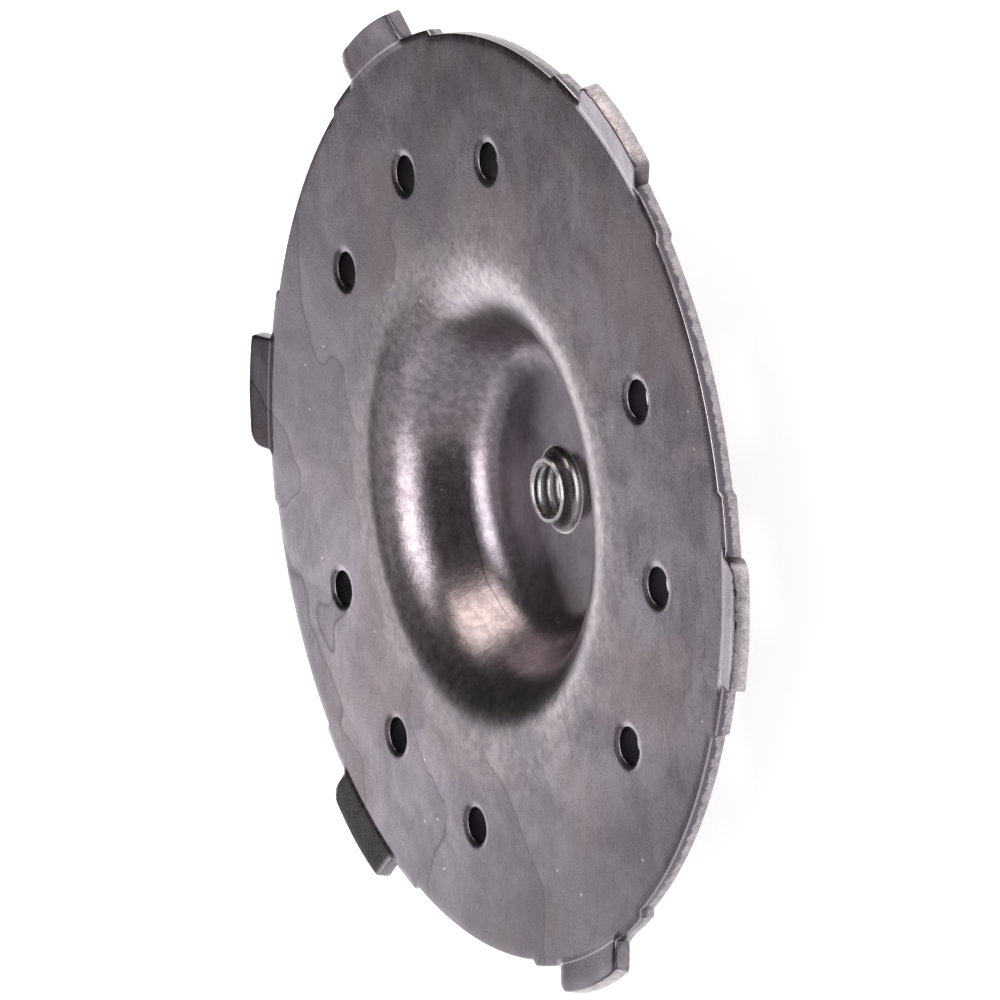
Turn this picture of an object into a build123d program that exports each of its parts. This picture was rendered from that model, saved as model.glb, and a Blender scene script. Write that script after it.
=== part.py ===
from build123d import *
import os
from math import cos, radians, sin, tan

# Clutch pressure plate: one pressed steel sheet, dished in the middle, with six drive tabs
# on its rim and nine drawn spring locator holes, and a threaded bush riveted into the dish.
#
# Frame: millimetres. The plate lies flat with its spring side up. Z is the clutch axis and
# Z = 0 is the rear face of the bush, the lowest face of the part. X points at one drive tab.

# Sheet and rim
SHEET = 2.5
RIM_RADIUS = 71.0
LAND_RADIUS = 71.9  # the rim stands a little prouder on both sides of each tab
LAND_HALF_ANGLE = 14.5
LAND_ROOT = 4.0  # how far a land reaches into the disc
SHEARED_EDGE_ROLL = 0.35  # that blanking leaves on the spring-side edge

# Dish, all on the spring-side face
DISH_DEPTH = 14.0
MOUTH_RADIUS = 37.6
MOUTH_BEND = 12.5
WALL_ANGLE = 60
FLOOR_BEND = 7.5

# Drive tabs, bent towards the spring side
TAB_COUNT = 6
TAB_WIDTH = 19.5
TAB_TIP_RADIUS = 76.2  # at the spring-side edge of the tip
TAB_BEND_START = 70.6
TAB_BEND_ANGLE = 16
TAB_INNER_BEND = 0.6
TAB_CORNER = 1.8
TAB_ROOT = 3.0  # how far a tab reaches into the disc

# Spring locators: three groups of three holes, 30 degrees apart in a group. Each hole is
# drawn through the sheet, with a rounded mouth on the spring side and a lip behind.
GROUP_COUNT = 3
GROUP_STEP = 30
LOCATOR_CIRCLE_RADIUS = 52.5
LOCATOR_HOLE_RADIUS = 2.85
LOCATOR_MOUTH_RADIUS = 4.5
LOCATOR_MOUTH_DEPTH = 1.3
LOCATOR_LIP_RADIUS = 4.3
LOCATOR_LIP_HEIGHT = 1.0

# Threaded bush
THREAD_MINOR_RADIUS = 3.9
COLLAR_RADIUS = 5.2
COLLAR_HEIGHT = 2.7
COLLAR_OUTER_CHAMFER = 0.6
COLLAR_BORE_CHAMFER = 0.5
SHANK_RADIUS = 6.2
RIVETED_LIP_RADIUS = 7.0  # where the flared foot of the collar ends, flush with the floor
RIVETED_LIP_DEPTH = 0.8
FLANGE_RADIUS = 10.0
FLANGE_THICKNESS = 3.0
FLANGE_CHAMFER = 0.5

# Heights that follow from the sizes above
FLOOR_BACK = FLANGE_THICKNESS
FLOOR_FRONT = FLOOR_BACK + SHEET
RING_FRONT = FLOOR_FRONT + DISH_DEPTH
RING_BACK = RING_FRONT - SHEET


def sheet_face(depth):
    """Edges of the sheet's face at this depth below the spring side, from the floor to the flat ring."""
    slope = radians(WALL_ANGLE)
    mouth_z = RING_FRONT - MOUTH_BEND
    floor_z = FLOOR_FRONT + FLOOR_BEND
    mouth_bend = MOUTH_BEND - depth
    floor_bend = FLOOR_BEND + depth
    wall_drop = DISH_DEPTH - (MOUTH_BEND + FLOOR_BEND) * (1 - cos(slope))
    wall_run = wall_drop / tan(slope)
    floor_radius = MOUTH_RADIUS - (MOUTH_BEND + FLOOR_BEND) * sin(slope) - wall_run

    def on_floor_bend(angle):
        return (floor_radius + floor_bend * sin(angle), floor_z - floor_bend * cos(angle))

    def on_mouth_bend(angle):
        return (MOUTH_RADIUS - mouth_bend * sin(angle), mouth_z + mouth_bend * cos(angle))

    level = (1, 0)
    up_wall = (cos(slope), sin(slope))
    floor_bend_points = [on_floor_bend(0), on_floor_bend(slope / 2), on_floor_bend(slope)]
    mouth_bend_points = [on_mouth_bend(slope), on_mouth_bend(slope / 2), on_mouth_bend(0)]
    return [
        Spline(floor_bend_points, tangents=[level, up_wall]),
        Line(floor_bend_points[-1], mouth_bend_points[0]),
        Spline(mouth_bend_points, tangents=[up_wall, level]),
    ]


def rim_profile(inner_radius, outer_radius):
    """Section of the flat ring out to a sheared edge whose spring-side corner is drawn down."""
    roll = SHEARED_EDGE_ROLL
    outline = [
        (inner_radius, RING_BACK),
        (outer_radius, RING_BACK),
        (outer_radius, RING_FRONT - roll),
        (outer_radius - roll, RING_FRONT),
        (inner_radius, RING_FRONT),
    ]
    return Polyline(outline)


def turned(edges, arc=360):
    """Solid swept about the clutch axis by a closed outline of (radius, height) edges."""
    section = Plane.XZ * make_face(edges)
    return revolve(section, Axis.Z, arc)


def dished_disc():
    """The round sheet with its dish and its countersunk bush hole."""
    front = sheet_face(0)
    back = sheet_face(SHEET)
    hole = [
        Line((SHANK_RADIUS, FLOOR_BACK), (SHANK_RADIUS, FLOOR_FRONT - RIVETED_LIP_DEPTH)),
        Line((SHANK_RADIUS, FLOOR_FRONT - RIVETED_LIP_DEPTH), (RIVETED_LIP_RADIUS, FLOOR_FRONT)),
    ]
    floor = [
        Line((RIVETED_LIP_RADIUS, FLOOR_FRONT), front[0] @ 0),
        Line((SHANK_RADIUS, FLOOR_BACK), back[0] @ 0),
    ]
    ring = rim_profile(MOUTH_RADIUS, RIM_RADIUS)
    return turned(front + back + hole + floor + [ring])


def land():
    """One stretch of slightly larger rim, centred on a tab."""
    inner_radius = LAND_RADIUS - LAND_ROOT
    inner_end = Line((inner_radius, RING_BACK), (inner_radius, RING_FRONT))
    segment = turned([rim_profile(inner_radius, LAND_RADIUS), inner_end], 2 * LAND_HALF_ANGLE)
    return Rot(0, 0, -LAND_HALF_ANGLE) * segment


def bent_strip():
    """Ring of sheet round the rim, bent up at its border, with its end square to its faces."""
    bend = radians(TAB_BEND_ANGLE)
    root_radius = TAB_BEND_START - TAB_ROOT
    centre_z = RING_FRONT + TAB_INNER_BEND

    def bent_face(bend_radius, tip_radius):
        start = (TAB_BEND_START, centre_z - bend_radius)
        end = (TAB_BEND_START + bend_radius * sin(bend), centre_z - bend_radius * cos(bend))
        tip = (tip_radius, end[1] + (tip_radius - end[0]) * tan(bend))
        root = (root_radius, start[1])
        return [Line(root, start), TangentArc(start, end, tangent=(1, 0)), Line(end, tip)]

    front = bent_face(TAB_INNER_BEND, TAB_TIP_RADIUS)
    back = bent_face(TAB_INNER_BEND + SHEET, TAB_TIP_RADIUS + SHEET * sin(bend))
    ends = [Line(front[0] @ 0, back[0] @ 0), Line(front[2] @ 1, back[2] @ 1)]
    return turned(front + back + ends)


def tab():
    """One drive tab on the X axis: a parallel-sided tongue of the bent strip, corners rounded."""
    half_width = TAB_WIDTH / 2
    slab = Pos(TAB_TIP_RADIUS, 0, RING_FRONT) * Box(TAB_TIP_RADIUS, TAB_WIDTH, 4 * SHEET)
    tongue = bent_strip() & slab
    side_edges = tongue.edges().filter_by(lambda edge: abs(edge.center().Y) > half_width - 0.01)
    tip_corners = side_edges.sort_by(Axis.X)[-2:]
    return fillet(tip_corners, TAB_CORNER)


def locator_lip():
    """Metal drawn out behind one spring locator on the Z axis, before its hole."""
    height = SHEET / 2 + LOCATOR_LIP_HEIGHT
    return Pos(0, 0, RING_BACK - LOCATOR_LIP_HEIGHT + height / 2) * Cylinder(LOCATOR_LIP_RADIUS, height)


def locator_hole():
    """What one locator removes: its bore and the mouth that narrows to it in two slopes."""
    bore = LOCATOR_HOLE_RADIUS
    end_z = RING_BACK - LOCATOR_LIP_HEIGHT
    shoulder_radius = bore + (LOCATOR_MOUTH_RADIUS - bore) * 0.4
    shoulder_z = RING_FRONT - LOCATOR_MOUTH_DEPTH * 0.3
    outline = [
        (0, RING_FRONT),
        (LOCATOR_MOUTH_RADIUS, RING_FRONT),
        (shoulder_radius, shoulder_z),
        (bore, RING_FRONT - LOCATOR_MOUTH_DEPTH),
        (bore, end_z),
        (0, end_z),
    ]
    return turned([Polyline(outline, close=True)])


def locator_places():
    """Places of the nine locators on their circle."""
    places = []
    for group in range(GROUP_COUNT):
        for step in (-1, 0, 1):
            angle = group * 360 / GROUP_COUNT + step * GROUP_STEP
            places.append(Rot(0, 0, angle) * Pos(LOCATOR_CIRCLE_RADIUS, 0, 0))
    return places


def pressure_plate():
    """The whole pressing: dished disc, rim lands, tabs and spring locators."""
    plate = dished_disc()
    one_land = land()
    one_tab = tab()
    for index in range(TAB_COUNT):
        turn = Rot(0, 0, index * 360 / TAB_COUNT)
        plate += turn * one_land
        plate += turn * one_tab
    lip = locator_lip()
    hole = locator_hole()
    for place in locator_places():
        plate += place * lip
    for place in locator_places():
        plate -= place * hole
    return plate


def threaded_bush():
    """Turned bush: rear flange, shank, lip rolled out over the floor, and collar round the thread."""
    top = FLOOR_FRONT + COLLAR_HEIGHT
    bore = THREAD_MINOR_RADIUS
    bore_mouth = bore + COLLAR_BORE_CHAMFER
    foot_flare = RIVETED_LIP_RADIUS - COLLAR_RADIUS
    outline = [
        (RIVETED_LIP_RADIUS, FLOOR_FRONT),
        (SHANK_RADIUS, FLOOR_FRONT - RIVETED_LIP_DEPTH),
        (SHANK_RADIUS, FLOOR_BACK),
        (FLANGE_RADIUS, FLOOR_BACK),
        (FLANGE_RADIUS, FLANGE_CHAMFER),
        (FLANGE_RADIUS - FLANGE_CHAMFER, 0),
        (bore_mouth, 0),
        (bore, COLLAR_BORE_CHAMFER),
        (bore, top - COLLAR_BORE_CHAMFER),
        (bore_mouth, top),
        (COLLAR_RADIUS - COLLAR_OUTER_CHAMFER, top),
        (COLLAR_RADIUS, top - COLLAR_OUTER_CHAMFER),
        (COLLAR_RADIUS, FLOOR_FRONT + foot_flare),
    ]
    return turned([Polyline(outline, close=True)])


os.makedirs("parts", exist_ok=True)
export_step(pressure_plate(), "parts/pressure_plate.step")
export_step(threaded_bush(), "parts/threaded_bush.step")
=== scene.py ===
from math import atan2, cos, degrees, pi, radians, sin, tan

import bmesh
import bpy
from mathutils import Matrix, Vector


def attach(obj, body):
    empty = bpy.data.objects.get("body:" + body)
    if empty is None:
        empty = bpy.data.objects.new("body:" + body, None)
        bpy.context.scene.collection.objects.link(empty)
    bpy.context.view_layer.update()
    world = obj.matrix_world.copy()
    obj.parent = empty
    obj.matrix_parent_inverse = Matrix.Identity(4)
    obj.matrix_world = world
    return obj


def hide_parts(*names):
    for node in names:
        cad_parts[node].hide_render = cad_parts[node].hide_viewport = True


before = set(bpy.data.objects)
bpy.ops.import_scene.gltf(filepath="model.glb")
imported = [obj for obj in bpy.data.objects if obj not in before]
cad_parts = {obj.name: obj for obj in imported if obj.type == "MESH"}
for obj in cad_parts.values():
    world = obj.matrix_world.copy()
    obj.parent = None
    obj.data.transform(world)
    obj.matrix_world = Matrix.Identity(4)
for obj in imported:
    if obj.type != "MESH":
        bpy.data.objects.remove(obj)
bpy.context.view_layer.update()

# ---------------------------------------------------------------------------------------------
# Studio: a white acrylic table, lit from below so that shadows on it stay pale, under soft boxes
# on a dome. The plate lies on the rear face of its bush with its spring side up, and the camera
# looks across it from low on one side, rolled on its side.

mm = 0.001


def linear(hex_colour):
    """An sRGB colour such as "#808080" as the linear colour that Blender's sockets take."""
    channels = []
    for start in (1, 3, 5):
        value = int(hex_colour[start:start + 2], 16) / 255
        channels.append(value / 12.92 if value <= 0.04045 else ((value + 0.055) / 1.055) ** 2.4)
    return (*channels, 1.0)


def add_node(tree, kind, inputs=None, **settings):
    """Adds one shader node with its settings and its inputs, each a value or the socket that feeds
    it, and returns the node's outputs."""
    node = tree.nodes.new("ShaderNode" + kind)
    for name, value in settings.items():
        setattr(node, name, value)
    for name, value in (inputs or {}).items():
        if isinstance(value, bpy.types.NodeSocket):
            tree.links.new(value, node.inputs[name])
        else:
            node.inputs[name].default_value = value
    return node.outputs


def new_material(name):
    """An empty node material and its tree."""
    material = bpy.data.materials.new(name)
    material.use_nodes = True
    material.node_tree.nodes.clear()
    return material, material.node_tree


# Opal acrylic sheet, sanded: a flat white without a sheen, with a glow of its own.
TABLE_SIZE = 6.0
TABLE_WHITE = "#DCDCDE"
TABLE_GLOW = 0.8

bpy.ops.object.select_all(action="DESELECT")
bpy.ops.mesh.primitive_plane_add(size=TABLE_SIZE, location=(0, 0, 0))
table = bpy.context.object
table.name = "table"
opal_acrylic, tree = new_material("white_acrylic_table")
surface = add_node(tree, "BsdfPrincipled", {
    "Base Color": linear(TABLE_WHITE), "Roughness": 0.9, "Specular IOR Level": 0.2,
    "Emission Color": linear("#FFFFFF"), "Emission Strength": TABLE_GLOW})["BSDF"]
add_node(tree, "OutputMaterial", {"Surface": surface})
table.data.materials.append(opal_acrylic)

# The room is nearly dark, so that the steel mirrors little but the soft boxes and the table.
ROOM_WHITE = "#FFFFFF"
ROOM_STRENGTH = 0.04

room = bpy.data.worlds.new("studio_room")
room.use_nodes = True
room_light = room.node_tree.nodes["Background"]
room_light.inputs["Color"].default_value = linear(ROOM_WHITE)
room_light.inputs["Strength"].default_value = ROOM_STRENGTH
bpy.context.scene.world = room

# The camera has a long lens and stands 0.8 m away, so that the far side looks hardly smaller.
CAMERA_AZIMUTH = 257.6
CAMERA_ELEVATION = 28.15
CAMERA_DISTANCE = 821.5 * mm
CAMERA_ROLL = -97.51
CAMERA_TARGET = Vector((-1.7 * mm, -5.4 * mm, 19.25 * mm))
CAMERA_LENS = 195.22
CAMERA_SENSOR = 36.0


def towards(azimuth, elevation):
    """The direction from the plate at these angles, in degrees."""
    level = cos(radians(elevation))
    return Vector((level * cos(radians(azimuth)), level * sin(radians(azimuth)), sin(radians(elevation))))


camera_data = bpy.data.cameras.new("camera")
camera_data.lens = CAMERA_LENS
camera_data.sensor_width = CAMERA_SENSOR
camera = bpy.data.objects.new("camera", camera_data)
bpy.context.scene.collection.objects.link(camera)
to_camera = towards(CAMERA_AZIMUTH, CAMERA_ELEVATION)
upright = to_camera.to_track_quat("Z", "Y").to_matrix()
camera.location = CAMERA_TARGET + to_camera * CAMERA_DISTANCE
camera.rotation_euler = (upright @ Matrix.Rotation(radians(CAMERA_ROLL), 3, "Z")).to_euler()
bpy.context.scene.camera = camera
bpy.context.scene.view_settings.view_transform = "Standard"

# Five soft boxes: a broad one overhead, a warm one at one side, one behind the plate, and two dim
# ones that lift the shadows.
DOME_RADIUS = 1.6
LAMP_WHITE = "#FFFFFF"
LAMP_WARM = "#FFF4E6"


def soft_box(name, beside_camera, elevation, wide, high, brightness, colour=LAMP_WHITE):
    """A soft box on the dome round the plate. Its middle is beside the camera by one angle and above
    the table by another, it covers wide by high degrees, and every part of it is equally bright."""
    outward = towards(CAMERA_AZIMUTH + beside_camera, elevation)
    lamp_data = bpy.data.lights.new(name, "AREA")
    lamp_data.shape = "RECTANGLE"
    lamp_data.size = 2 * DOME_RADIUS * tan(radians(wide / 2))
    lamp_data.size_y = 2 * DOME_RADIUS * tan(radians(high / 2))
    lamp_data.energy = brightness * pi * lamp_data.size * lamp_data.size_y
    lamp_data.color = linear(colour)[:3]
    lamp = bpy.data.objects.new(name, lamp_data)
    bpy.context.scene.collection.objects.link(lamp)
    lamp.location = outward * DOME_RADIUS
    lamp.rotation_euler = outward.to_track_quat("Z", "Y").to_euler()


soft_box("overhead_box", beside_camera=6, elevation=76, wide=50, high=28, brightness=5.2)
soft_box("side_box", beside_camera=86, elevation=20, wide=34, high=36, brightness=4.6, colour=LAMP_WARM)
soft_box("back_box", beside_camera=197, elevation=17, wide=44, high=27, brightness=2.5)
soft_box("rear_top_box", beside_camera=-138, elevation=60, wide=50, high=32, brightness=0.7)
soft_box("fill_box", beside_camera=-88, elevation=36, wide=70, high=50, brightness=0.85)

# ---------------------------------------------------------------------------------------------
# Pressure plate: one blank of 2.5 mm mild steel sheet, blanked out with its six tabs and drawn
# into a dish in the same press. The punch leaves the blank's spring-side edge rolled over and
# the rest of the cut edge part burnished, part torn.

SHEET = 2.5 * mm
RING_FRONT = 19.5 * mm
FLOOR_FRONT = 5.5 * mm
MOUTH_RADIUS = 37.6 * mm
MOUTH_BEND = 12.5 * mm
FLOOR_BEND = 7.5 * mm
WALL_ANGLE = radians(60)
BUSH_HOLE_RADIUS = 7.0 * mm
BUSH_HOLE_REAR_RADIUS = 6.2 * mm
RIM_RADIUS = 71.0 * mm
LAND_RADIUS = 71.9 * mm  # the rim stands a little prouder on both sides of each tab
LAND_HALF_ANGLE = 14.55  # degrees
EDGE_ROLL_WIDTH = 1.3 * mm
EDGE_ROLL_DEPTH = 0.12 * mm
FRONT_CORNER = 0.22 * mm
REAR_CORNER = 0.08 * mm

TAB_COUNT = 6
TAB_PITCH = 360 / TAB_COUNT
TAB_HALF_WIDTH = 9.75 * mm
TAB_HALF_ANGLE = 7.95  # degrees
TAB_ANGLE = radians(16)
TAB_SLOPE = tan(TAB_ANGLE)
TAB_INNER_BEND = 0.6 * mm
TAB_BEND_START = 70.6 * mm
TAB_BEND_END = TAB_BEND_START + TAB_INNER_BEND * sin(TAB_ANGLE)
TAB_BEND_RISE = TAB_INNER_BEND * (1 - cos(TAB_ANGLE))
TAB_ROOT_RADIUS = 72.9 * mm
TAB_TIP_RADIUS = 76.2 * mm
SQUARE_CORNER = 0.8 * mm
ROUND_CORNER = 2.5 * mm
ROUND_CORNER_FIRST = (2, 3)  # tabs that have their round corner on the other side from the rest
CORNER_STEPS = 4
BENDING_TOOL_REACH = 8.0 * mm

COLUMNS = 546  # so that a column falls on each side of a tab and on each end of a land
TAB_HALF_COLUMNS = 12
TAB_ROOT_ANGLE = radians(TAB_HALF_COLUMNS * 360 / COLUMNS)
FLOOR_STEPS = 5
FLOOR_BEND_STEPS = 8
MOUTH_BEND_STEPS = 10
FLAT_RINGS = [radius * mm for radius in (40.5, 43.5, 46.0, 49.0, 52.5, 56.0, 59.0, 62.0, 65.0, 67.5, 68.8)]
RINGS_BEFORE_BEND = [69.6 * mm, 70.1 * mm, 70.5 * mm, TAB_BEND_START]
RINGS_AFTER_BEND = [TAB_BEND_END, 70.87 * mm, 71.2 * mm, 71.55 * mm, LAND_RADIUS]
EDGE_RINGS = RINGS_BEFORE_BEND + RINGS_AFTER_BEND
NEAR = 0.03 * mm  # how close a point has to be to count as on a ring

# Mild steel sheet, pickled, drawn and handled: a satin grey face with a mauve cast. The eye sees
# fine streaks along the rolling direction in mottled patches, clouds of brown oil stain, darker
# oiled stretches, thin tide marks where oil dried on one half of the ring, pale specks, rubbed
# corners, and a lighter, flecked dish with a scuffed lip and one long draw mark in its wall.
# Painted on as light and shade: one tab painted pale and a thin pale line along the tabs' bend
# crease, partly a rubbed line, as painted highlights; the dish floor and a patch on the dish's
# lip painted darker as painted shade.
STEEL_DARK = "#4E474F"
STEEL_LIGHT = "#958B96"
MOTTLE_DARK = "#5A535C"
MOTTLE_LIGHT = "#8F8590"
STAIN_BROWN = "#7C6A69"
DRAWN_DARK = "#7D757C"
DRAWN_PALE = "#A69DA3"
# Also the colour of the painted shade patch on the dish's lip.
OILED_GREY = "#4A444C"
SCUFFED_LIP = "#A69D9C"
TIDE_DARK = "#352F33"
SPECK_PALE = "#D8D2CC"
RUBBED_CORNER = "#A39EA1"
# The colour of painted highlights: the tabs' crease line and one pale tab.
CREASE_PALE = "#B9B4B7"

CLOUD_SIZE = 24 * mm
PATCH_SIZE = 11 * mm
TIDE_SIZE = 30 * mm
FLECK_SIZE = 1.5 * mm
BLOTCH_WIDTH = 2.4 * mm
STREAK_WIDTH = 1.1 * mm
STREAK_STRETCH = 3.3  # a streak is about three times as long as it is wide
ROLLING_DIRECTION = radians(-29)
GRAIN_SIZE = 0.4 * mm  # coarser than the pickled grain of about 0.1 mm, so that it shows
GRAIN_DEPTH = 0.014 * mm
PEEL_DEPTH = 0.035 * mm
SPECK_SPACING = 5.5 * mm
TIDE_SPACING = 25 * mm
TIDE_WANDER = 1.9  # in spacings
TIDE_WIDTH = (0.016, 0.0)  # in spacings

# Each pair is the place where a mark starts and the place from which it is full.
STRETCHED = (42.6 * mm, 34.6 * mm)
DRAWN_WALL = (15 * mm, 22 * mm)
# The floor's low share paints it darker, as painted shade at the bottom of the dish.
DRAWN_SHARE = (0.1, 0.6)  # on the floor and on the wall
SCUFFED_FROM_INSIDE = (28 * mm, 34 * mm)
SCUFFED_FROM_OUTSIDE = (47 * mm, 39 * mm)
OILED_SIDE = (-28 * mm, -44 * mm)
OILED_SIDE_WANDER = 30 * mm
TIDE_HALF = (3 * mm, 9 * mm)
RUBBED_FROM_INSIDE = (69.5 * mm, 70.0 * mm)
RUBBED_FROM_OUTSIDE = (73.0 * mm, 72.2 * mm)
# Bounds of one tab painted pale as painted light.
WORN_TAB_ROOT = (71.6 * mm, 72.0 * mm)
WORN_TAB_ACROSS = (-22 * mm, -28 * mm)
WORN_TAB_ALONG = (30 * mm, 40 * mm)
DRAW_MARK_RADIUS = 24.4 * mm
DRAW_MARK_MIDDLE = (-3 * mm, 24 * mm, 9.2 * mm)
DRAW_MARK_LENGTH = (17 * mm, 11 * mm)
DRAW_MARK_WIDTH = (0.14 * mm, 0.0)
DRAW_MARK_WANDER = 3 * mm
# Where a thin pale line runs along the tabs' bend crease: a painted highlight, partly a rubbed line.
CREASE_HEIGHT = 19.76 * mm
CREASE_WIDTH = (0.055 * mm, 0.0)
OIL_STAINS = [  # the middle of each, its pair and its strength
    ((44 * mm, 44 * mm, RING_FRONT), (38 * mm, 11.4 * mm), 0.45),
    # This second patch, on the dish's lip, is painted shade that dims the soft boxes' reflections there; the
    # first is an oil stain.
    ((48 * mm, -3 * mm, RING_FRONT), (17 * mm, 5.1 * mm), 0.5),
]


def lay_coats(tree, colour, coats):
    """Lays coats of colour one over another. Each has its colour, its strength and what bounds it:
    any number of measures, each with the value where the coat starts and the value where it is full."""
    for coat, strength, *bounds in coats:
        share = strength
        for measure, start, full in bounds:
            share = add_node(tree, "MapRange", {
                "Value": measure, "From Min": start, "From Max": full, "To Max": share})["Result"]
        colour = add_node(tree, "Mix", {
            "Factor": share, "A": colour, "B": coat}, data_type="RGBA")["Result"]
    return colour


pressed_steel, tree = new_material("pickled_mild_steel_sheet")
place = add_node(tree, "TexCoord")["Object"]
apart = add_node(tree, "SeparateXYZ", {"Vector": place})
level = add_node(tree, "VectorMath", {0: place, 1: (1, 1, 0)}, operation="MULTIPLY")["Vector"]
radius = add_node(tree, "VectorMath", {0: level}, operation="LENGTH")["Value"]
upward = add_node(tree, "SeparateXYZ", {"Vector": add_node(tree, "NewGeometry")["Normal"]})["Z"]
in_dish = add_node(tree, "MapRange", {
    "Value": radius, "From Min": STRETCHED[0], "From Max": STRETCHED[1]})["Result"]
rolled = add_node(tree, "Mapping", {
    "Vector": place, "Rotation": (0, 0, ROLLING_DIRECTION), "Scale": (STREAK_STRETCH, 1, 1)},
    vector_type="TEXTURE")["Vector"]

# Each noise has what it reads, the size of its largest lumps, its detail, roughness and distortion.
marks = {}
for name, vector, lump, detail, roughness, distortion in (
        ("clouds", place, CLOUD_SIZE, 3, 0.55, 0.6),
        ("patches", place, PATCH_SIZE, 6, 0.68, 0.5),
        ("tides", place, TIDE_SIZE, 2, 0.45, 0.5),
        ("flecks", place, FLECK_SIZE, 5, 0.72, 0.3),
        ("blotches", rolled, BLOTCH_WIDTH, 5, 0.75, 0),
        ("streaks", rolled, STREAK_WIDTH, 4, 0.7, 0),
        ("grain", place, GRAIN_SIZE, 3, 0.65, 0)):
    marks[name] = add_node(tree, "TexNoise", {
        "Vector": vector, "Scale": 1 / lump, "Detail": detail, "Roughness": roughness,
        "Distortion": distortion})["Fac"]

# How light each point of the sheet is, about 0.5. The drawn dish is evener than the ring, with a
# coarser grain and a slightly duller face.
DISH_EVENNESS = 0.4
DISH_COARSENESS = 0.6
DISH_DULLNESS = 0.02
tone = -0.5
for mark, weight in (("streaks", 0.25), ("blotches", 0.35), ("grain", 0.4)):
    tone = add_node(tree, "Math", {0: marks[mark], 1: weight, 2: tone}, operation="MULTIPLY_ADD")["Value"]
evenness = add_node(tree, "Math", {0: in_dish, 1: -DISH_EVENNESS, 2: 1.0}, operation="MULTIPLY_ADD")["Value"]
tone = add_node(tree, "Math", {0: tone, 1: evenness, 2: 0.5}, operation="MULTIPLY_ADD")["Value"]

# Each pair is the level of a noise, or of the face's upward tilt, where a coat starts and is full.
TONE_SPREAD = (0.38, 0.62)
FLECK_SPREAD = (0.4, 0.62)
PATCH_SPREAD = (0.4, 0.6)
CLOUD_SPREAD = (0.5, 0.66)
SCUFF_SPREAD = (0.4, 0.52)
OFF_DISH = (0.6, 0.0)
PAST_TIDE = (1.0, 0.0)
SPECK_SIZE = (0.05, 0.03)
ROUNDED_OFF = (0.93, 0.8)
LEVEL_FACE = (0.9, 0.95)
mottled = lay_coats(tree, linear(MOTTLE_DARK), [
    (linear(MOTTLE_LIGHT), 1.0, (marks["patches"], *PATCH_SPREAD))])
flecked = lay_coats(tree, linear(DRAWN_DARK), [
    (linear(DRAWN_PALE), 1.0, (marks["flecks"], *FLECK_SPREAD))])

# The dish floor gets little of the pale drawn coat and its wall much, so the floor is painted darker: painted
# shade at the bottom of the dish.
drawn_wall = add_node(tree, "MapRange", {
    "Value": radius, "From Min": DRAWN_WALL[0], "From Max": DRAWN_WALL[1],
    "To Min": DRAWN_SHARE[0], "To Max": DRAWN_SHARE[1]})["Result"]
drawn = add_node(tree, "Math", {0: in_dish, 1: drawn_wall}, operation="MULTIPLY")["Value"]

oiled_side = add_node(tree, "Math", {
    0: marks["clouds"], 1: OILED_SIDE_WANDER, 2: apart["X"]}, operation="MULTIPLY_ADD")["Value"]

# The draw mark follows the wall of the dish, with a slight wander.
centred = add_node(tree, "Math", {0: marks["clouds"], 1: 0.5}, operation="SUBTRACT")["Value"]
wandered = add_node(tree, "Math", {
    0: centred, 1: DRAW_MARK_WANDER, 2: radius}, operation="MULTIPLY_ADD")["Value"]
off_mark = add_node(tree, "Math", {0: wandered, 1: DRAW_MARK_RADIUS}, operation="SUBTRACT")["Value"]
beside_mark = add_node(tree, "Math", {0: off_mark}, operation="ABSOLUTE")["Value"]
along_mark = add_node(tree, "VectorMath", {0: place, 1: DRAW_MARK_MIDDLE}, operation="DISTANCE")["Value"]

# Tide marks are the level lines of a wandering slope. Each is darker on one side.
slope = add_node(tree, "Math", {0: apart["Y"], 1: 1 / TIDE_SPACING}, operation="MULTIPLY")["Value"]
tide = add_node(tree, "Math", {
    0: marks["tides"], 1: TIDE_WANDER, 2: slope}, operation="MULTIPLY_ADD")["Value"]
tide_part = add_node(tree, "Math", {0: tide}, operation="FRACT")["Value"]
off_tide = add_node(tree, "Math", {0: tide_part, 1: 0.5}, operation="SUBTRACT")["Value"]
beside_tide = add_node(tree, "Math", {0: off_tide}, operation="ABSOLUTE")["Value"]
next_tide = add_node(tree, "Math", {0: tide, 1: 0.5}, operation="ADD")["Value"]
past_tide = add_node(tree, "Math", {0: next_tide}, operation="FRACT")["Value"]
tide_bounds = ((apart["Y"], *TIDE_HALF), (in_dish, *OFF_DISH))

specks = add_node(tree, "TexVoronoi", {"Vector": place, "Scale": 1 / SPECK_SPACING})["Distance"]
off_crease = add_node(tree, "Math", {0: apart["Z"], 1: CREASE_HEIGHT}, operation="SUBTRACT")["Value"]
beside_crease = add_node(tree, "Math", {0: off_crease}, operation="ABSOLUTE")["Value"]

stains = []
for middle, (start, full), strength in OIL_STAINS:
    distance = add_node(tree, "VectorMath", {0: place, 1: middle}, operation="DISTANCE")["Value"]
    stains.append((linear(OILED_GREY), strength, (distance, start, full)))

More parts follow.
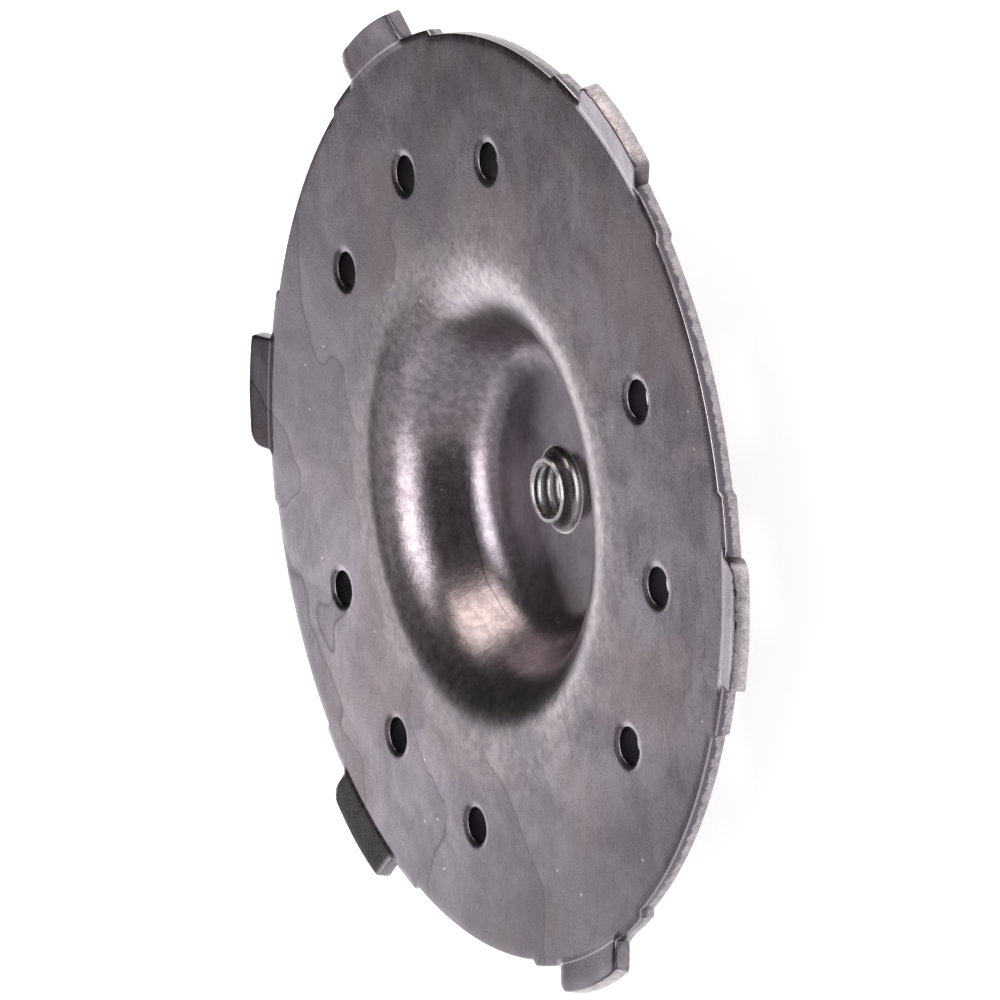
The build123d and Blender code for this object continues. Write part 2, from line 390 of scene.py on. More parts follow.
steel_colour = lay_coats(tree, linear(STEEL_DARK), [
    (linear(STEEL_LIGHT), 1.0, (tone, *TONE_SPREAD)),
    (mottled, 0.55),
    (linear(STAIN_BROWN), 0.45, (marks["clouds"], *CLOUD_SPREAD)),
    # The floor's small share of this pale coat is painted shade.
    (flecked, drawn),
    (linear(OILED_GREY), 0.6, (oiled_side, *OILED_SIDE)),
    (linear(SCUFFED_LIP), 0.6, (marks["flecks"], *FLECK_SPREAD), (marks["patches"], *SCUFF_SPREAD),
     (radius, *SCUFFED_FROM_INSIDE), (radius, *SCUFFED_FROM_OUTSIDE)),
    (linear(TIDE_DARK), 0.6, (beside_mark, *DRAW_MARK_WIDTH), (along_mark, *DRAW_MARK_LENGTH)),
    *stains,
    (linear(TIDE_DARK), 0.3, (past_tide, *PAST_TIDE), *tide_bounds),
    (linear(TIDE_DARK), 0.7, (beside_tide, *TIDE_WIDTH), *tide_bounds),
    (linear(SPECK_PALE), 0.7, (specks, *SPECK_SIZE)),
    (linear(RUBBED_CORNER), 1.0, (upward, *ROUNDED_OFF),
     (radius, *RUBBED_FROM_INSIDE), (radius, *RUBBED_FROM_OUTSIDE)),
    # Painted highlight: a thin pale line along the tabs' bend crease, partly a rubbed line.
    (linear(CREASE_PALE), 0.9, (beside_crease, *CREASE_WIDTH), (upward, *LEVEL_FACE)),
    # Painted light: one tab painted pale.
    (linear(CREASE_PALE), 0.7, (radius, *WORN_TAB_ROOT),
     (apart["X"], *WORN_TAB_ACROSS), (apart["Y"], *WORN_TAB_ALONG)),
])

STEEL_SATIN = (0.25, 0.31)
satin = add_node(tree, "MapRange", {
    "Value": tone, "From Min": TONE_SPREAD[0], "From Max": TONE_SPREAD[1],
    "To Min": STEEL_SATIN[0], "To Max": STEEL_SATIN[1]})["Result"]
steel_satin = add_node(tree, "Math", {
    0: in_dish, 1: DISH_DULLNESS, 2: satin}, operation="MULTIPLY_ADD")["Value"]
peel = add_node(tree, "Math", {0: marks["flecks"], 1: in_dish}, operation="MULTIPLY")["Value"]
peel_bump = add_node(tree, "Bump", {"Strength": 1.0, "Distance": PEEL_DEPTH, "Height": peel})["Normal"]
coarser = add_node(tree, "Math", {0: in_dish, 1: DISH_COARSENESS, 2: 1.0}, operation="MULTIPLY_ADD")["Value"]
grain = add_node(tree, "Math", {0: marks["grain"], 1: coarser}, operation="MULTIPLY")["Value"]
grain_bump = add_node(tree, "Bump", {
    "Strength": 1.0, "Distance": GRAIN_DEPTH, "Height": grain, "Normal": peel_bump})["Normal"]
surface = add_node(tree, "BsdfPrincipled", {
    "Base Color": steel_colour, "Metallic": 1.0, "Roughness": steel_satin, "Normal": grain_bump})["BSDF"]
add_node(tree, "OutputMaterial", {"Surface": surface})

# The blank's cut edge. From the spring side down the eye sees smooth dark steel that the punch
# burnished, and then a brighter granular band where the metal tore. The torn band takes in nearly
# all of a tab's tip and little of a tab's sides.
BURNISHED = "#57525A"
TORN_DARK = "#8A8386"
TORN_LIGHT = "#CBC3C7"
TORN_GRAIN = 0.24 * mm
TORN_DEPTH = 0.02 * mm
TORN_PATCH = 1.6 * mm
TORN_RAGGED = 1.5 * mm
TIP_EDGE = (72.2 * mm, 74.5 * mm)  # between the rim's cut edge and the tab tips'
TORN_SHARE = (0.55, 0.93)  # of the sheet's thickness, at the rim and at the tips
TORN_BRIGHTNESS = (0.6, 1.0)  # at the rim and at the tips
TEAR_WANDER = 0.2  # of the sheet's thickness, to each side
TEAR_LINE = (0.05, -0.05)
FACING_OUT = (0.45, 0.75)
TORN_ON_SIDES = 0.25
CRUMB_SHARE = 0.6  # of the torn band's light and dark, beside its lumps
CRUMB_SPREAD = (0.4, 0.6)
EDGE_SATIN = (0.3, 0.45)  # burnished and torn
# Painted shade: the tips on one side of the plate are painted darker with the burnished colour.
HANDLED_TIPS = (20 * mm, 34 * mm)
HANDLED_FROM = (73 * mm, 74.5 * mm)

cut_edge, tree = new_material("sheared_steel_edge")
place = add_node(tree, "TexCoord")["Object"]
apart = add_node(tree, "SeparateXYZ", {"Vector": place})
level = add_node(tree, "VectorMath", {0: place, 1: (1, 1, 0)}, operation="MULTIPLY")["Vector"]
radius = add_node(tree, "VectorMath", {0: level}, operation="LENGTH")["Value"]
outward = add_node(tree, "VectorMath", {0: level}, operation="NORMALIZE")["Vector"]
wall_way = add_node(tree, "NewGeometry")["Normal"]
facing_out = add_node(tree, "VectorMath", {0: wall_way, 1: outward}, operation="DOT_PRODUCT")["Value"]
height = add_node(tree, "Attribute", attribute_name="edge_height")["Fac"]
crumbs = add_node(tree, "TexNoise", {
    "Vector": place, "Scale": 1 / TORN_GRAIN, "Detail": 3, "Roughness": 0.7})["Fac"]
lumps = add_node(tree, "TexNoise", {
    "Vector": place, "Scale": 1 / TORN_PATCH, "Detail": 3, "Roughness": 0.6})["Fac"]
ragged = add_node(tree, "TexNoise", {
    "Vector": place, "Scale": 1 / TORN_RAGGED, "Detail": 4, "Roughness": 0.7})["Fac"]
jagged = add_node(tree, "MapRange", {
    "Value": ragged, "From Min": 0.3, "From Max": 0.7,
    "To Min": -TEAR_WANDER, "To Max": TEAR_WANDER})["Result"]
torn_share = add_node(tree, "MapRange", {
    "Value": radius, "From Min": TIP_EDGE[0], "From Max": TIP_EDGE[1],
    "To Min": TORN_SHARE[0], "To Max": TORN_SHARE[1]})["Result"]
ragged_height = add_node(tree, "Math", {0: height, 1: jagged}, operation="ADD")["Value"]
above_tear = add_node(tree, "Math", {0: ragged_height, 1: torn_share}, operation="SUBTRACT")["Value"]
torn_side = add_node(tree, "MapRange", {
    "Value": facing_out, "From Min": FACING_OUT[0], "From Max": FACING_OUT[1],
    "To Min": TORN_ON_SIDES})["Result"]
torn = add_node(tree, "MapRange", {
    "Value": above_tear, "From Min": TEAR_LINE[0], "From Max": TEAR_LINE[1], "To Max": torn_side})["Result"]
torn_bright = add_node(tree, "MapRange", {
    "Value": radius, "From Min": TIP_EDGE[0], "From Max": TIP_EDGE[1],
    "To Min": TORN_BRIGHTNESS[0], "To Max": TORN_BRIGHTNESS[1]})["Result"]
bared = add_node(tree, "Math", {0: torn, 1: torn_bright}, operation="MULTIPLY")["Value"]
lumpy = add_node(tree, "Math", {0: lumps, 1: 1 - CRUMB_SHARE}, operation="MULTIPLY")["Value"]
crumbly = add_node(tree, "Math", {0: crumbs, 1: CRUMB_SHARE, 2: lumpy}, operation="MULTIPLY_ADD")["Value"]
torn_colour = lay_coats(tree, linear(TORN_DARK), [
    (linear(TORN_LIGHT), 1.0, (crumbly, *CRUMB_SPREAD)),
    # Painted shade on the tips of one side, dimming their reflection.
    (linear(BURNISHED), 0.2, (apart["X"], *HANDLED_TIPS), (radius, *HANDLED_FROM)),
])
edge_colour = lay_coats(tree, linear(BURNISHED), [(torn_colour, bared)])
edge_satin = add_node(tree, "MapRange", {
    "Value": torn, "To Min": EDGE_SATIN[0], "To Max": EDGE_SATIN[1]})["Result"]
torn_grain = add_node(tree, "Math", {0: torn, 1: crumbs}, operation="MULTIPLY")["Value"]
torn_bump = add_node(tree, "Bump", {"Strength": 1.0, "Distance": TORN_DEPTH, "Height": torn_grain})["Normal"]
surface = add_node(tree, "BsdfPrincipled", {
    "Base Color": edge_colour, "Metallic": 1.0, "Roughness": edge_satin, "Normal": torn_bump})["BSDF"]
add_node(tree, "OutputMaterial", {"Surface": surface})

# The walls of the punched holes are painted near black: painted shade in the bore, over some dried oil, so
# the eye sees no steel in them.
OILED_BLACK = "#242226"

punched_bore, tree = new_material("oiled_punched_bore")
surface = add_node(tree, "BsdfPrincipled", {
    "Base Color": linear(OILED_BLACK), "Metallic": 1.0, "Roughness": 0.4})["BSDF"]
add_node(tree, "OutputMaterial", {"Surface": surface})


def pick(piece, kind, test):
    """In edit mode, selects just the verts, edges or faces that pass the test."""
    shape = bmesh.from_edit_mesh(piece.data)
    bpy.ops.mesh.select_all(action="DESELECT")
    modes = {"verts": {"VERT"}, "edges": {"EDGE"}, "faces": {"FACE"}}
    shape.select_mode = modes[kind]
    for element in getattr(shape, kind):
        if test(element):
            element.select_set(True)
    shape.select_flush_mode()
    bmesh.update_edit_mesh(piece.data)


def scale(value, centre=(0, 0, 0)):
    """Scales what is selected about a centre."""
    bpy.ops.transform.resize(value=value, center_override=centre)


def shift(value):
    """Moves what is selected."""
    bpy.ops.transform.translate(value=value)


def turn(angle):
    """Turns what is selected about the clutch axis; with no window the operator's sign is reversed."""
    bpy.ops.transform.rotate(value=-radians(angle), orient_axis="Z", center_override=(0, 0, 0))


def draw_out(name, section, columns, beside=0.0):
    """A shell drawn out of a circle, ring by ring, through a section's points (radius, height). Its
    own axis stands beside the clutch axis."""
    bpy.ops.object.select_all(action="DESELECT")
    bpy.ops.mesh.primitive_circle_add(vertices=columns, radius=section[0][0], location=(beside, 0, 0))
    piece = bpy.context.object
    piece.name = name
    piece.data.name = name
    bpy.ops.object.mode_set(mode="EDIT")
    shift((0, 0, section[0][1]))
    for (radius, height), (next_radius, next_height) in zip(section, section[1:]):
        bpy.ops.mesh.extrude_region_move(TRANSFORM_OT_translate={"value": (0, 0, next_height - height)})
        scale((next_radius / radius, next_radius / radius, 1), (beside, 0, 0))
    return piece


def reach(point):
    """Distance of a point from the clutch axis."""
    return Vector((point.x, point.y)).length


def bearing(point):
    """Angle of a point about the clutch axis from +X, in degrees."""
    return degrees(atan2(point.y, point.x))


def off_tab(point):
    """Angle of a point from the middle of the nearest tab, in degrees."""
    return (bearing(point) + TAB_PITCH / 2) % TAB_PITCH - TAB_PITCH / 2


def on_ring(point, radius):
    """Whether a point is on the ring of this radius."""
    return abs(reach(point) - radius) < NEAR


def sheet_section():
    """Points (radius, height) of the sheet's spring-side face from the bush hole to the rim."""
    bends = MOUTH_BEND + FLOOR_BEND
    wall_drop = RING_FRONT - FLOOR_FRONT - bends * (1 - cos(WALL_ANGLE))
    floor_radius = MOUTH_RADIUS - bends * sin(WALL_ANGLE) - wall_drop / tan(WALL_ANGLE)
    floor = []
    for step in range(FLOOR_STEPS):
        floor.append((BUSH_HOLE_RADIUS + (floor_radius - BUSH_HOLE_RADIUS) * step / FLOOR_STEPS, FLOOR_FRONT))
    foot = []
    for step in range(FLOOR_BEND_STEPS + 1):
        angle = WALL_ANGLE * step / FLOOR_BEND_STEPS
        foot.append((floor_radius + FLOOR_BEND * sin(angle), FLOOR_FRONT + FLOOR_BEND * (1 - cos(angle))))
    lip = []
    for step in range(MOUTH_BEND_STEPS + 1):
        angle = WALL_ANGLE * (1 - step / MOUTH_BEND_STEPS)
        lip.append((MOUTH_RADIUS - MOUTH_BEND * sin(angle), RING_FRONT - MOUTH_BEND * (1 - cos(angle))))
    wall_middle = ((foot[-1][0] + lip[0][0]) / 2, (foot[-1][1] + lip[0][1]) / 2)
    ring = [(radius, RING_FRONT) for radius in FLAT_RINGS + EDGE_RINGS]
    return floor + foot + [wall_middle] + lip + ring


plate = draw_out("pressed_plate", sheet_section(), COLUMNS)

# Beside the lands the outer rings draw in to the smaller rim.
drawn_in_share = (RIM_RADIUS - EDGE_RINGS[0]) / (LAND_RADIUS - EDGE_RINGS[0])
for radius in EDGE_RINGS[1:]:
    pick(plate, "verts", lambda v: abs(off_tab(v.co)) > LAND_HALF_ANGLE and on_ring(v.co, radius))
    drawn_in = EDGE_RINGS[0] + (radius - EDGE_RINGS[0]) * drawn_in_share
    scale((drawn_in / radius, drawn_in / radius, 1))

# Between the sides of each tab the rings beyond the bend line rise with the tab.
for radius in RINGS_AFTER_BEND:
    pick(plate, "verts", lambda v: abs(off_tab(v.co)) < TAB_HALF_ANGLE and on_ring(v.co, radius))
    shift((0, 0, TAB_BEND_RISE + (radius - TAB_BEND_END) * TAB_SLOPE))


def tab_side(radius, corner):
    """How far a tab's side stands from its middle line at this distance from the clutch axis."""
    past = max(0, radius - TAB_TIP_RADIUS + corner)
    return TAB_HALF_WIDTH - corner + (corner ** 2 - past ** 2) ** 0.5


# Each tab is drawn out on the +X axis, and then the whole plate turns on to the next one.
tab_radii = [LAND_RADIUS, TAB_ROOT_RADIUS]
for step in range(CORNER_STEPS + 1):
    tab_radii.append(TAB_TIP_RADIUS - ROUND_CORNER * (1 - sin(radians(90) * step / CORNER_STEPS)))
for index in range(TAB_COUNT):
    corners = (ROUND_CORNER, SQUARE_CORNER) if index in ROUND_CORNER_FIRST else (SQUARE_CORNER, ROUND_CORNER)
    pick(plate, "edges", lambda e: all(
        v.co.x > 0 and abs(bearing(v.co)) < TAB_HALF_ANGLE and on_ring(v.co, LAND_RADIUS) for v in e.verts))
    before, after = [LAND_RADIUS * sin(TAB_ROOT_ANGLE)] * 2
    for radius, next_radius in zip(tab_radii, tab_radii[1:]):
        next_before, next_after = [tab_side(next_radius, corner) for corner in corners]
        out = next_radius - radius
        bpy.ops.mesh.extrude_region_move(TRANSFORM_OT_translate={"value": (out, 0, out * TAB_SLOPE)})
        widen = (next_before + next_after) / (before + after)
        scale((1, widen, 1))
        shift((0, next_after - widen * after, 0))
        before, after = next_before, next_after
    bpy.ops.mesh.select_all(action="SELECT")
    turn(-TAB_PITCH)

bpy.ops.mesh.select_all(action="SELECT")
bpy.ops.mesh.normals_make_consistent(inside=False)
if bmesh.from_edit_mesh(plate.data).faces[:][0].normal.z < 0:
    bpy.ops.mesh.flip_normals()
pick(plate, "verts", lambda v: reach(v.co) > LAND_RADIUS + NEAR)
bpy.ops.object.vertex_group_assign_new()
bpy.ops.object.mode_set(mode="OBJECT")

# The bending tool's face is a cone about the clutch axis, and every tab is pressed onto it.
bpy.ops.object.select_all(action="DESELECT")
bpy.ops.mesh.primitive_cone_add(
    vertices=COLUMNS, radius1=TAB_BEND_END, radius2=TAB_BEND_END + BENDING_TOOL_REACH,
    depth=BENDING_TOOL_REACH * TAB_SLOPE, end_fill_type="NOTHING",
    location=(0, 0, RING_FRONT + TAB_BEND_RISE + BENDING_TOOL_REACH * TAB_SLOPE / 2))
bending_tool = bpy.context.object
pressing = plate.modifiers.new("tab_bending", "SHRINKWRAP")
pressing.target = bending_tool
pressing.wrap_method = "PROJECT"
pressing.use_project_z = True
pressing.use_negative_direction = True
pressing.vertex_group = plate.vertex_groups[-1].name

# The sheet gets its thickness behind the spring side, with the cut edge all round.
PRESSED_FACE = 0
CUT_EDGE = 1
PUNCHED_BORE = 2
for finish in (pressed_steel, cut_edge, punched_bore):
    plate.data.materials.append(finish)
thickness = plate.modifiers.new("sheet_thickness", "SOLIDIFY")
thickness.thickness = SHEET
thickness.offset = -1
thickness.use_even_offset = True
thickness.material_offset_rim = CUT_EDGE


def apply_modifiers(piece):
    """Applies a piece's modifiers, in their order."""
    bpy.context.view_layer.objects.active = piece
    for modifier in piece.modifiers[:]:
        bpy.ops.object.modifier_apply(modifier=modifier.name)


apply_modifiers(plate)
bpy.data.objects.remove(bending_tool)
plate.vertex_groups.clear()
plate.select_set(True)

# How high each point is between the rear and the spring side, for the cut edge's material.
edge_height = plate.data.attributes.new("edge_height", "FLOAT", "POINT")
for face in plate.data.polygons:
    if face.material_index == PRESSED_FACE and face.normal.z > 0:
        for index in face.vertices:
            edge_height.data[index].value = 1.0

# The bush hole is wider on the spring side, for the bush's lip.
bpy.ops.object.mode_set(mode="EDIT")
narrowing = BUSH_HOLE_REAR_RADIUS / BUSH_HOLE_RADIUS
pick(plate, "verts", lambda v: v.co.z < FLOOR_FRONT - SHEET / 2 and reach(v.co) < BUSH_HOLE_RADIUS + NEAR)
scale((narrowing, narrowing, 1))


def is_cut_corner(edge, front):
    """Whether an edge parts the cut edge from the spring side, or from the rear."""
    if reach(edge.verts[0].co) < MOUTH_RADIUS or len(edge.link_faces) != 2:
        return False
    face, wall = sorted(edge.link_faces, key=lambda f: f.material_index)
    return face.material_index != wall.material_index and (face.normal.z > 0) == front


# The punch draws the spring side down towards the cut, with the most at the very edge.
pick(plate, "edges", lambda e: is_cut_corner(e, front=True))
bpy.ops.transform.translate(
    value=(0, 0, -EDGE_ROLL_DEPTH), use_proportional_edit=True, use_proportional_connected=True,
    proportional_size=EDGE_ROLL_WIDTH, proportional_edit_falloff="SHARP")
bpy.ops.mesh.bevel(offset=FRONT_CORNER, segments=3, profile=0.5, material=PRESSED_FACE, clamp_overlap=False)
pick(plate, "edges", lambda e: is_cut_corner(e, front=False))
bpy.ops.mesh.bevel(offset=REAR_CORNER, segments=2, profile=0.5, material=CUT_EDGE, clamp_overlap=False)

# ---------------------------------------------------------------------------------------------
# Spring locators: nine holes drawn through the sheet in the same tool. Each has a rounded mouth
# on the spring side and stands out as a short lip behind. One is modelled and copied round the
# circle into gaps in the sheet.

LOCATOR_CIRCLE_RADIUS = 52.5 * mm
LOCATOR_HOLE_RADIUS = 2.85 * mm
LOCATOR_PATCH_RADIUS = 5.9 * mm
DIMPLE_RADIUS = 4.35 * mm
DIMPLE_DEPTH = 0.2 * mm
DIMPLE_STEPS = 6
DIMPLE_SLOPE = radians(27)
MOUTH_CORNER = 0.3 * mm
MOUTH_CORNER_STEPS = 6
LIP_RADIUS = 4.3 * mm
LIP_HEIGHT = 1.0 * mm
LIP_ROOT_BEND = 0.4 * mm
LIP_CORNER = 0.15 * mm
LOCATOR_COLUMNS = 48
GROUP_COUNT = 3
GROUP_STEP = 30
LOCATOR_ANGLES = []
for group in range(GROUP_COUNT):
    for step in (-1, 0, 1):
        LOCATOR_ANGLES.append((group * 360 // GROUP_COUNT + step * GROUP_STEP) % 360)
GAP_HALF_ANGLE = 7.0  # degrees
GAP_INNER = FLAT_RINGS[2] + 0.05 * mm
GAP_OUTER = FLAT_RINGS[6] - 0.05 * mm
GAP_REACH = 12 * mm  # past the corners of its own gap and short of the next


def locator_section():
    """Points (radius, height) of a locator from the spring side, through its bore, to the rear."""
    corner_radius = LOCATOR_HOLE_RADIUS + MOUTH_CORNER
    points = [(LOCATOR_PATCH_RADIUS, RING_FRONT)]
    for step in range(DIMPLE_STEPS + 1):
        share = step / DIMPLE_STEPS
        radius = DIMPLE_RADIUS + (corner_radius - DIMPLE_RADIUS) * share
        points.append((radius, RING_FRONT - DIMPLE_DEPTH * share ** 3))
    for step in range(1, MOUTH_CORNER_STEPS + 1):
        angle = DIMPLE_SLOPE + (radians(90) - DIMPLE_SLOPE) * step / MOUTH_CORNER_STEPS
        points.append((
            corner_radius - MOUTH_CORNER * (sin(angle) - sin(DIMPLE_SLOPE)) / (1 - sin(DIMPLE_SLOPE)),
            RING_FRONT - DIMPLE_DEPTH - MOUTH_CORNER * (cos(DIMPLE_SLOPE) - cos(angle)),
        ))
    rear = RING_FRONT - SHEET
    points += [
        (LOCATOR_HOLE_RADIUS, rear - LIP_HEIGHT + LIP_CORNER),
        (LOCATOR_HOLE_RADIUS + LIP_CORNER, rear - LIP_HEIGHT),
        (LIP_RADIUS - LIP_CORNER, rear - LIP_HEIGHT),
        (LIP_RADIUS, rear - LIP_HEIGHT + LIP_CORNER),
        (LIP_RADIUS, rear - LIP_ROOT_BEND),
        (LIP_RADIUS + 0.3 * LIP_ROOT_BEND, rear - 0.3 * LIP_ROOT_BEND),
        (LIP_RADIUS + LIP_ROOT_BEND, rear),
        (LOCATOR_PATCH_RADIUS, rear),
    ]
    return points


def in_gap(point):
    """Whether a point of the sheet is where a locator goes."""
    beside = (bearing(point) + GROUP_STEP / 2) % GROUP_STEP - GROUP_STEP / 2
    return (round(bearing(point) - beside) % 360 in LOCATOR_ANGLES
            and abs(beside) < GAP_HALF_ANGLE and GAP_INNER < reach(point) < GAP_OUTER)


def place_mesh(piece):
    """Moves a piece's place and turn into its mesh."""
    piece.data.transform(piece.matrix_world)
    piece.matrix_world = Matrix.Identity(4)


def copy_turned(piece, angle):
    """A copy with its own mesh, turned about the clutch axis."""
    twin = piece.copy()
    twin.data = piece.data.copy()
    bpy.context.scene.collection.objects.link(twin)
    twin.data.transform(Matrix.Rotation(radians(angle), 4, "Z"))
    return twin


pick(plate, "faces", lambda f: in_gap(f.calc_center_median()))
bpy.ops.mesh.delete(type="FACE")
bpy.ops.object.mode_set(mode="OBJECT")

locator = draw_out("spring_locator", locator_section(), LOCATOR_COLUMNS, LOCATOR_CIRCLE_RADIUS)
pick(locator, "faces", lambda f: f.calc_center_median().xy.length < LOCATOR_HOLE_RADIUS + NEAR)
for face in bmesh.from_edit_mesh(locator.data).faces:
    face.material_index = PUNCHED_BORE if face.select else PRESSED_FACE
bpy.ops.object.mode_set(mode="OBJECT")
for finish in (pressed_steel, cut_edge, punched_bore):
    locator.data.materials.append(finish)
place_mesh(locator)
for angle in LOCATOR_ANGLES:
    copy_turned(locator, angle).select_set(True)
bpy.data.objects.remove(locator)
plate.select_set(True)
bpy.context.view_layer.objects.active = plate
bpy.ops.object.join()

# The sheet is closed round each locator, on the spring side and behind.
bpy.ops.object.mode_set(mode="EDIT")
sheet_middle = RING_FRONT - SHEET / 2
for angle in LOCATOR_ANGLES:
    hole_centre = Matrix.Rotation(radians(angle), 3, "Z") @ Vector((LOCATOR_CIRCLE_RADIUS, 0, RING_FRONT))
    for side in (1, -1):
        pick(plate, "edges", lambda e: e.is_boundary and all(
            (v.co - hole_centre).xy.length < GAP_REACH and (v.co.z - sheet_middle) * side > 0
            for v in e.verts))
        bpy.ops.mesh.fill(use_beauty=True)
bpy.ops.mesh.select_all(action="SELECT")
bpy.ops.mesh.normals_make_consistent(inside=False)
bpy.ops.object.mode_set(mode="OBJECT")
bpy.ops.object.shade_smooth_by_angle(angle=radians(32))

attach(plate, "root")
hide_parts("pressure_plate")

# ---------------------------------------------------------------------------------------------
# Threaded bush: turned from bright steel bar, pushed through the dish from behind until its
# flange seats, and its lip rolled out over the floor. The thread inside takes the adjusting screw.

BUSH_COLUMNS = 128
BORE_RADIUS = 3.9 * mm
BORE_CHAMFER = 0.5 * mm
COLLAR_RADIUS = 5.2 * mm
COLLAR_TOP = FLOOR_FRONT + 2.7 * mm
COLLAR_CHAMFER = 0.25 * mm
FOOT_FLARE = 1.6 * mm
FOOT_STEPS = 8
FOOT_EDGE = 0.05 * mm  # how far the rolled lip's edge stands above the floor
SHANK_TOP = FLOOR_FRONT - 1.5 * mm
FLANGE_RADIUS = 10.0 * mm
FLANGE_THICKNESS = 3.0 * mm
FLANGE_CHAMFER = 0.5 * mm
THREAD_ROOT_RADIUS = 4.7 * mm
THREAD_PITCH = 1.5875 * mm  # sixteen turns to the inch
THREAD_HALF_ANGLE = radians(30)


def bush_section():
    """Closed outline (radius, height) of the bush, from the rear end of its bore and back to it."""
    points = [
        (BORE_RADIUS, BORE_CHAMFER),
        (BORE_RADIUS + BORE_CHAMFER, 0),
        (FLANGE_RADIUS - FLANGE_CHAMFER, 0),
        (FLANGE_RADIUS, FLANGE_CHAMFER),
        (FLANGE_RADIUS, FLANGE_THICKNESS),
        (BUSH_HOLE_REAR_RADIUS, FLANGE_THICKNESS),
        (BUSH_HOLE_REAR_RADIUS, SHANK_TOP),
        (BUSH_HOLE_RADIUS, FLOOR_FRONT),
    ]
    for step in range(FOOT_STEPS + 1):
        angle = radians(90) * step / FOOT_STEPS
        points.append((
            COLLAR_RADIUS + FOOT_FLARE * (1 - sin(angle)),
            FLOOR_FRONT + FOOT_EDGE + FOOT_FLARE * (1 - cos(angle)),
        ))
    points += [
        (COLLAR_RADIUS, COLLAR_TOP - COLLAR_CHAMFER),
        (COLLAR_RADIUS - COLLAR_CHAMFER, COLLAR_TOP),
        (BORE_RADIUS + BORE_CHAMFER, COLLAR_TOP),
        (BORE_RADIUS, COLLAR_TOP - BORE_CHAMFER),
        (BORE_RADIUS, BORE_CHAMFER),
    ]
    return points


bush = draw_out("turned_threaded_bush", bush_section(), BUSH_COLUMNS)
bpy.ops.mesh.select_all(action="SELECT")
bpy.ops.mesh.remove_doubles(threshold=0.001 * mm)
bpy.ops.mesh.normals_make_consistent(inside=False)
bpy.ops.object.mode_set(mode="OBJECT")

# The thread is cut by a sixty degree tool that climbs one pitch a turn. Its section is a square
# whose outer side is narrowed to the tool's nose and whose inner side is widened to its back.
TOOL_STEPS = 64
TOOL_TURNS = 8
TOOL_NOSE = 0.3 * mm
TOOL_BACK_RADIUS = 3.6 * mm
TOOL_START = -1.5 * THREAD_PITCH
tool_depth = THREAD_ROOT_RADIUS - TOOL_BACK_RADIUS
tool_back = TOOL_NOSE + 2 * tool_depth * tan(THREAD_HALF_ANGLE)
tool_centre = ((THREAD_ROOT_RADIUS + TOOL_BACK_RADIUS) / 2, 0, TOOL_START)

bpy.ops.object.select_all(action="DESELECT")
bpy.ops.mesh.primitive_plane_add(size=tool_depth, location=tool_centre, rotation=(pi / 2, 0, 0))
tool = bpy.context.object
place_mesh(tool)
bpy.ops.object.mode_set(mode="EDIT")
for wide, at_nose in ((TOOL_NOSE, True), (tool_back, False)):
    pick(tool, "verts", lambda v: (v.co.x > tool_centre[0]) == at_nose)
    scale((1, 1, wide / tool_depth), tool_centre)
bpy.ops.mesh.select_all(action="SELECT")
bpy.ops.mesh.delete(type="ONLY_FACE")
bpy.ops.object.mode_set(mode="OBJECT")
helix = tool.modifiers.new("helix", "SCREW")
helix.angle = 2 * pi
helix.screw_offset = THREAD_PITCH
helix.iterations = TOOL_TURNS
helix.steps = TOOL_STEPS
helix.render_steps = TOOL_STEPS
apply_modifiers(tool)
bpy.ops.object.mode_set(mode="EDIT")
for low in (True, False):
    pick(tool, "edges", lambda e: e.is_boundary and (e.verts[0].co.z < FLOOR_FRONT / 2) == low)
    bpy.ops.mesh.edge_face_add()
bpy.ops.mesh.select_all(action="SELECT")
bpy.ops.mesh.normals_make_consistent(inside=False)
bpy.ops.object.mode_set(mode="OBJECT")
cut = bush.modifiers.new("thread", "BOOLEAN")
cut.operation = "DIFFERENCE"
cut.solver = "EXACT"
cut.object = tool
apply_modifiers(bush)
bpy.data.objects.remove(tool)
bpy.ops.object.select_all(action="DESELECT")
bush.select_set(True)
bpy.ops.object.shade_smooth_by_angle(angle=radians(25))

# Bright turned steel: it mirrors the room, with the fine rings of the turning tool and a worn bright
# edge where the lip meets the floor. Its foot is painted dark on one side and lighter on the other:
# painted shade and painted light.
TURNED_BRIGHT = "#A8A4A7"
FOOT_DARK = "#262325"
FOOT_LIGHT = "#7E7A7C"
WORN_RIM = "#C4C0BE"
TURNING_PITCH = 0.18 * mm  # coarser than the real feed of about 0.1 mm, so that it shows
TURNING_DEPTH = 0.004 * mm
CRUMB_SIZE = 0.35 * mm
BUSH_SATIN = (0.24, 0.32)
OIL_WANDER = 6 * mm
OILED_FOOT = (0.0, 7 * mm)
FOOT_FROM_INSIDE = (COLLAR_RADIUS - 0.06 * mm, COLLAR_RADIUS - 0.02 * mm)
FOOT_FROM_ABOVE = (COLLAR_TOP - 0.3 * mm, COLLAR_TOP - 0.4 * mm)
WORN_RIM_FROM_INSIDE = (6.62 * mm, 6.7 * mm)
WORN_RIM_FROM_BELOW = (5.2 * mm, 5.4 * mm)

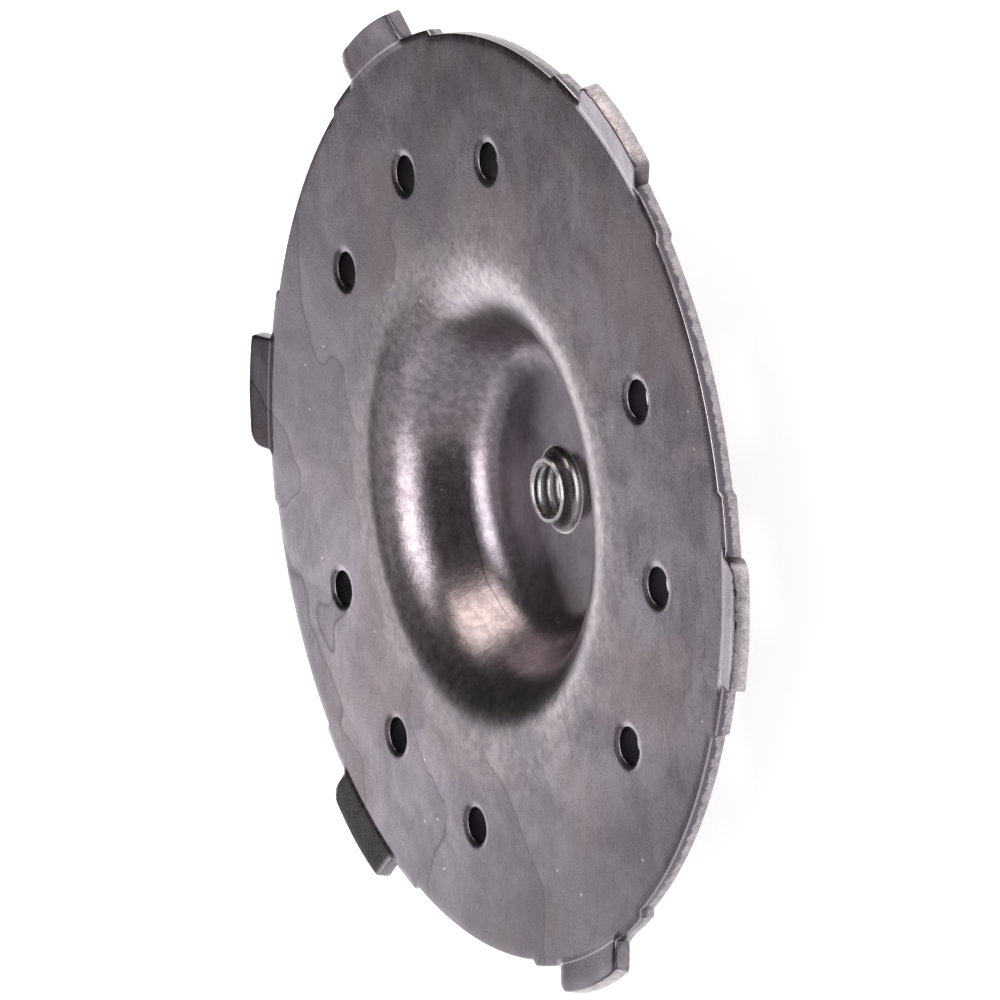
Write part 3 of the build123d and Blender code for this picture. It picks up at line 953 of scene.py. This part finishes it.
turned_steel, tree = new_material("bright_turned_steel")
place = add_node(tree, "TexCoord")["Object"]
apart = add_node(tree, "SeparateXYZ", {"Vector": place})
level = add_node(tree, "VectorMath", {0: place, 1: (1, 1, 0)}, operation="MULTIPLY")["Vector"]
radius = add_node(tree, "VectorMath", {0: level}, operation="LENGTH")["Value"]
crumbs = add_node(tree, "TexNoise", {
    "Vector": place, "Scale": 1 / CRUMB_SIZE, "Detail": 3, "Roughness": 0.7})["Fac"]
# Painted shade across the foot: dark on one side, lighter on the other.
diagonal = add_node(tree, "Math", {0: apart["X"], 1: apart["Y"]}, operation="ADD")["Value"]
oil_side = add_node(tree, "Math", {0: crumbs, 1: OIL_WANDER, 2: diagonal}, operation="MULTIPLY_ADD")["Value"]
foot_colour = lay_coats(tree, linear(FOOT_LIGHT), [(linear(FOOT_DARK), 1.0, (oil_side, *OILED_FOOT))])
bush_colour = lay_coats(tree, linear(TURNED_BRIGHT), [
    (foot_colour, 1.0, (radius, *FOOT_FROM_INSIDE), (apart["Z"], *FOOT_FROM_ABOVE)),
    (linear(WORN_RIM), 1.0, (radius, *WORN_RIM_FROM_INSIDE), (apart["Z"], *WORN_RIM_FROM_BELOW)),
])
bush_satin = add_node(tree, "MapRange", {
    "Value": crumbs, "From Min": 0.35, "From Max": 0.65,
    "To Min": BUSH_SATIN[0], "To Max": BUSH_SATIN[1]})["Result"]
travel = add_node(tree, "Math", {0: radius, 1: apart["Z"]}, operation="ADD")["Value"]
phase = add_node(tree, "Math", {0: travel, 1: 2 * pi / TURNING_PITCH}, operation="MULTIPLY")["Value"]
rings = add_node(tree, "Math", {0: phase}, operation="SINE")["Value"]
ring_bump = add_node(tree, "Bump", {"Strength": 1.0, "Distance": TURNING_DEPTH, "Height": rings})["Normal"]
surface = add_node(tree, "BsdfPrincipled", {
    "Base Color": bush_colour, "Metallic": 1.0, "Roughness": bush_satin, "Normal": ring_bump})["BSDF"]
add_node(tree, "OutputMaterial", {"Surface": surface})
bush.data.materials.append(turned_steel)

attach(bush, "root")
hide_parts("threaded_bush")
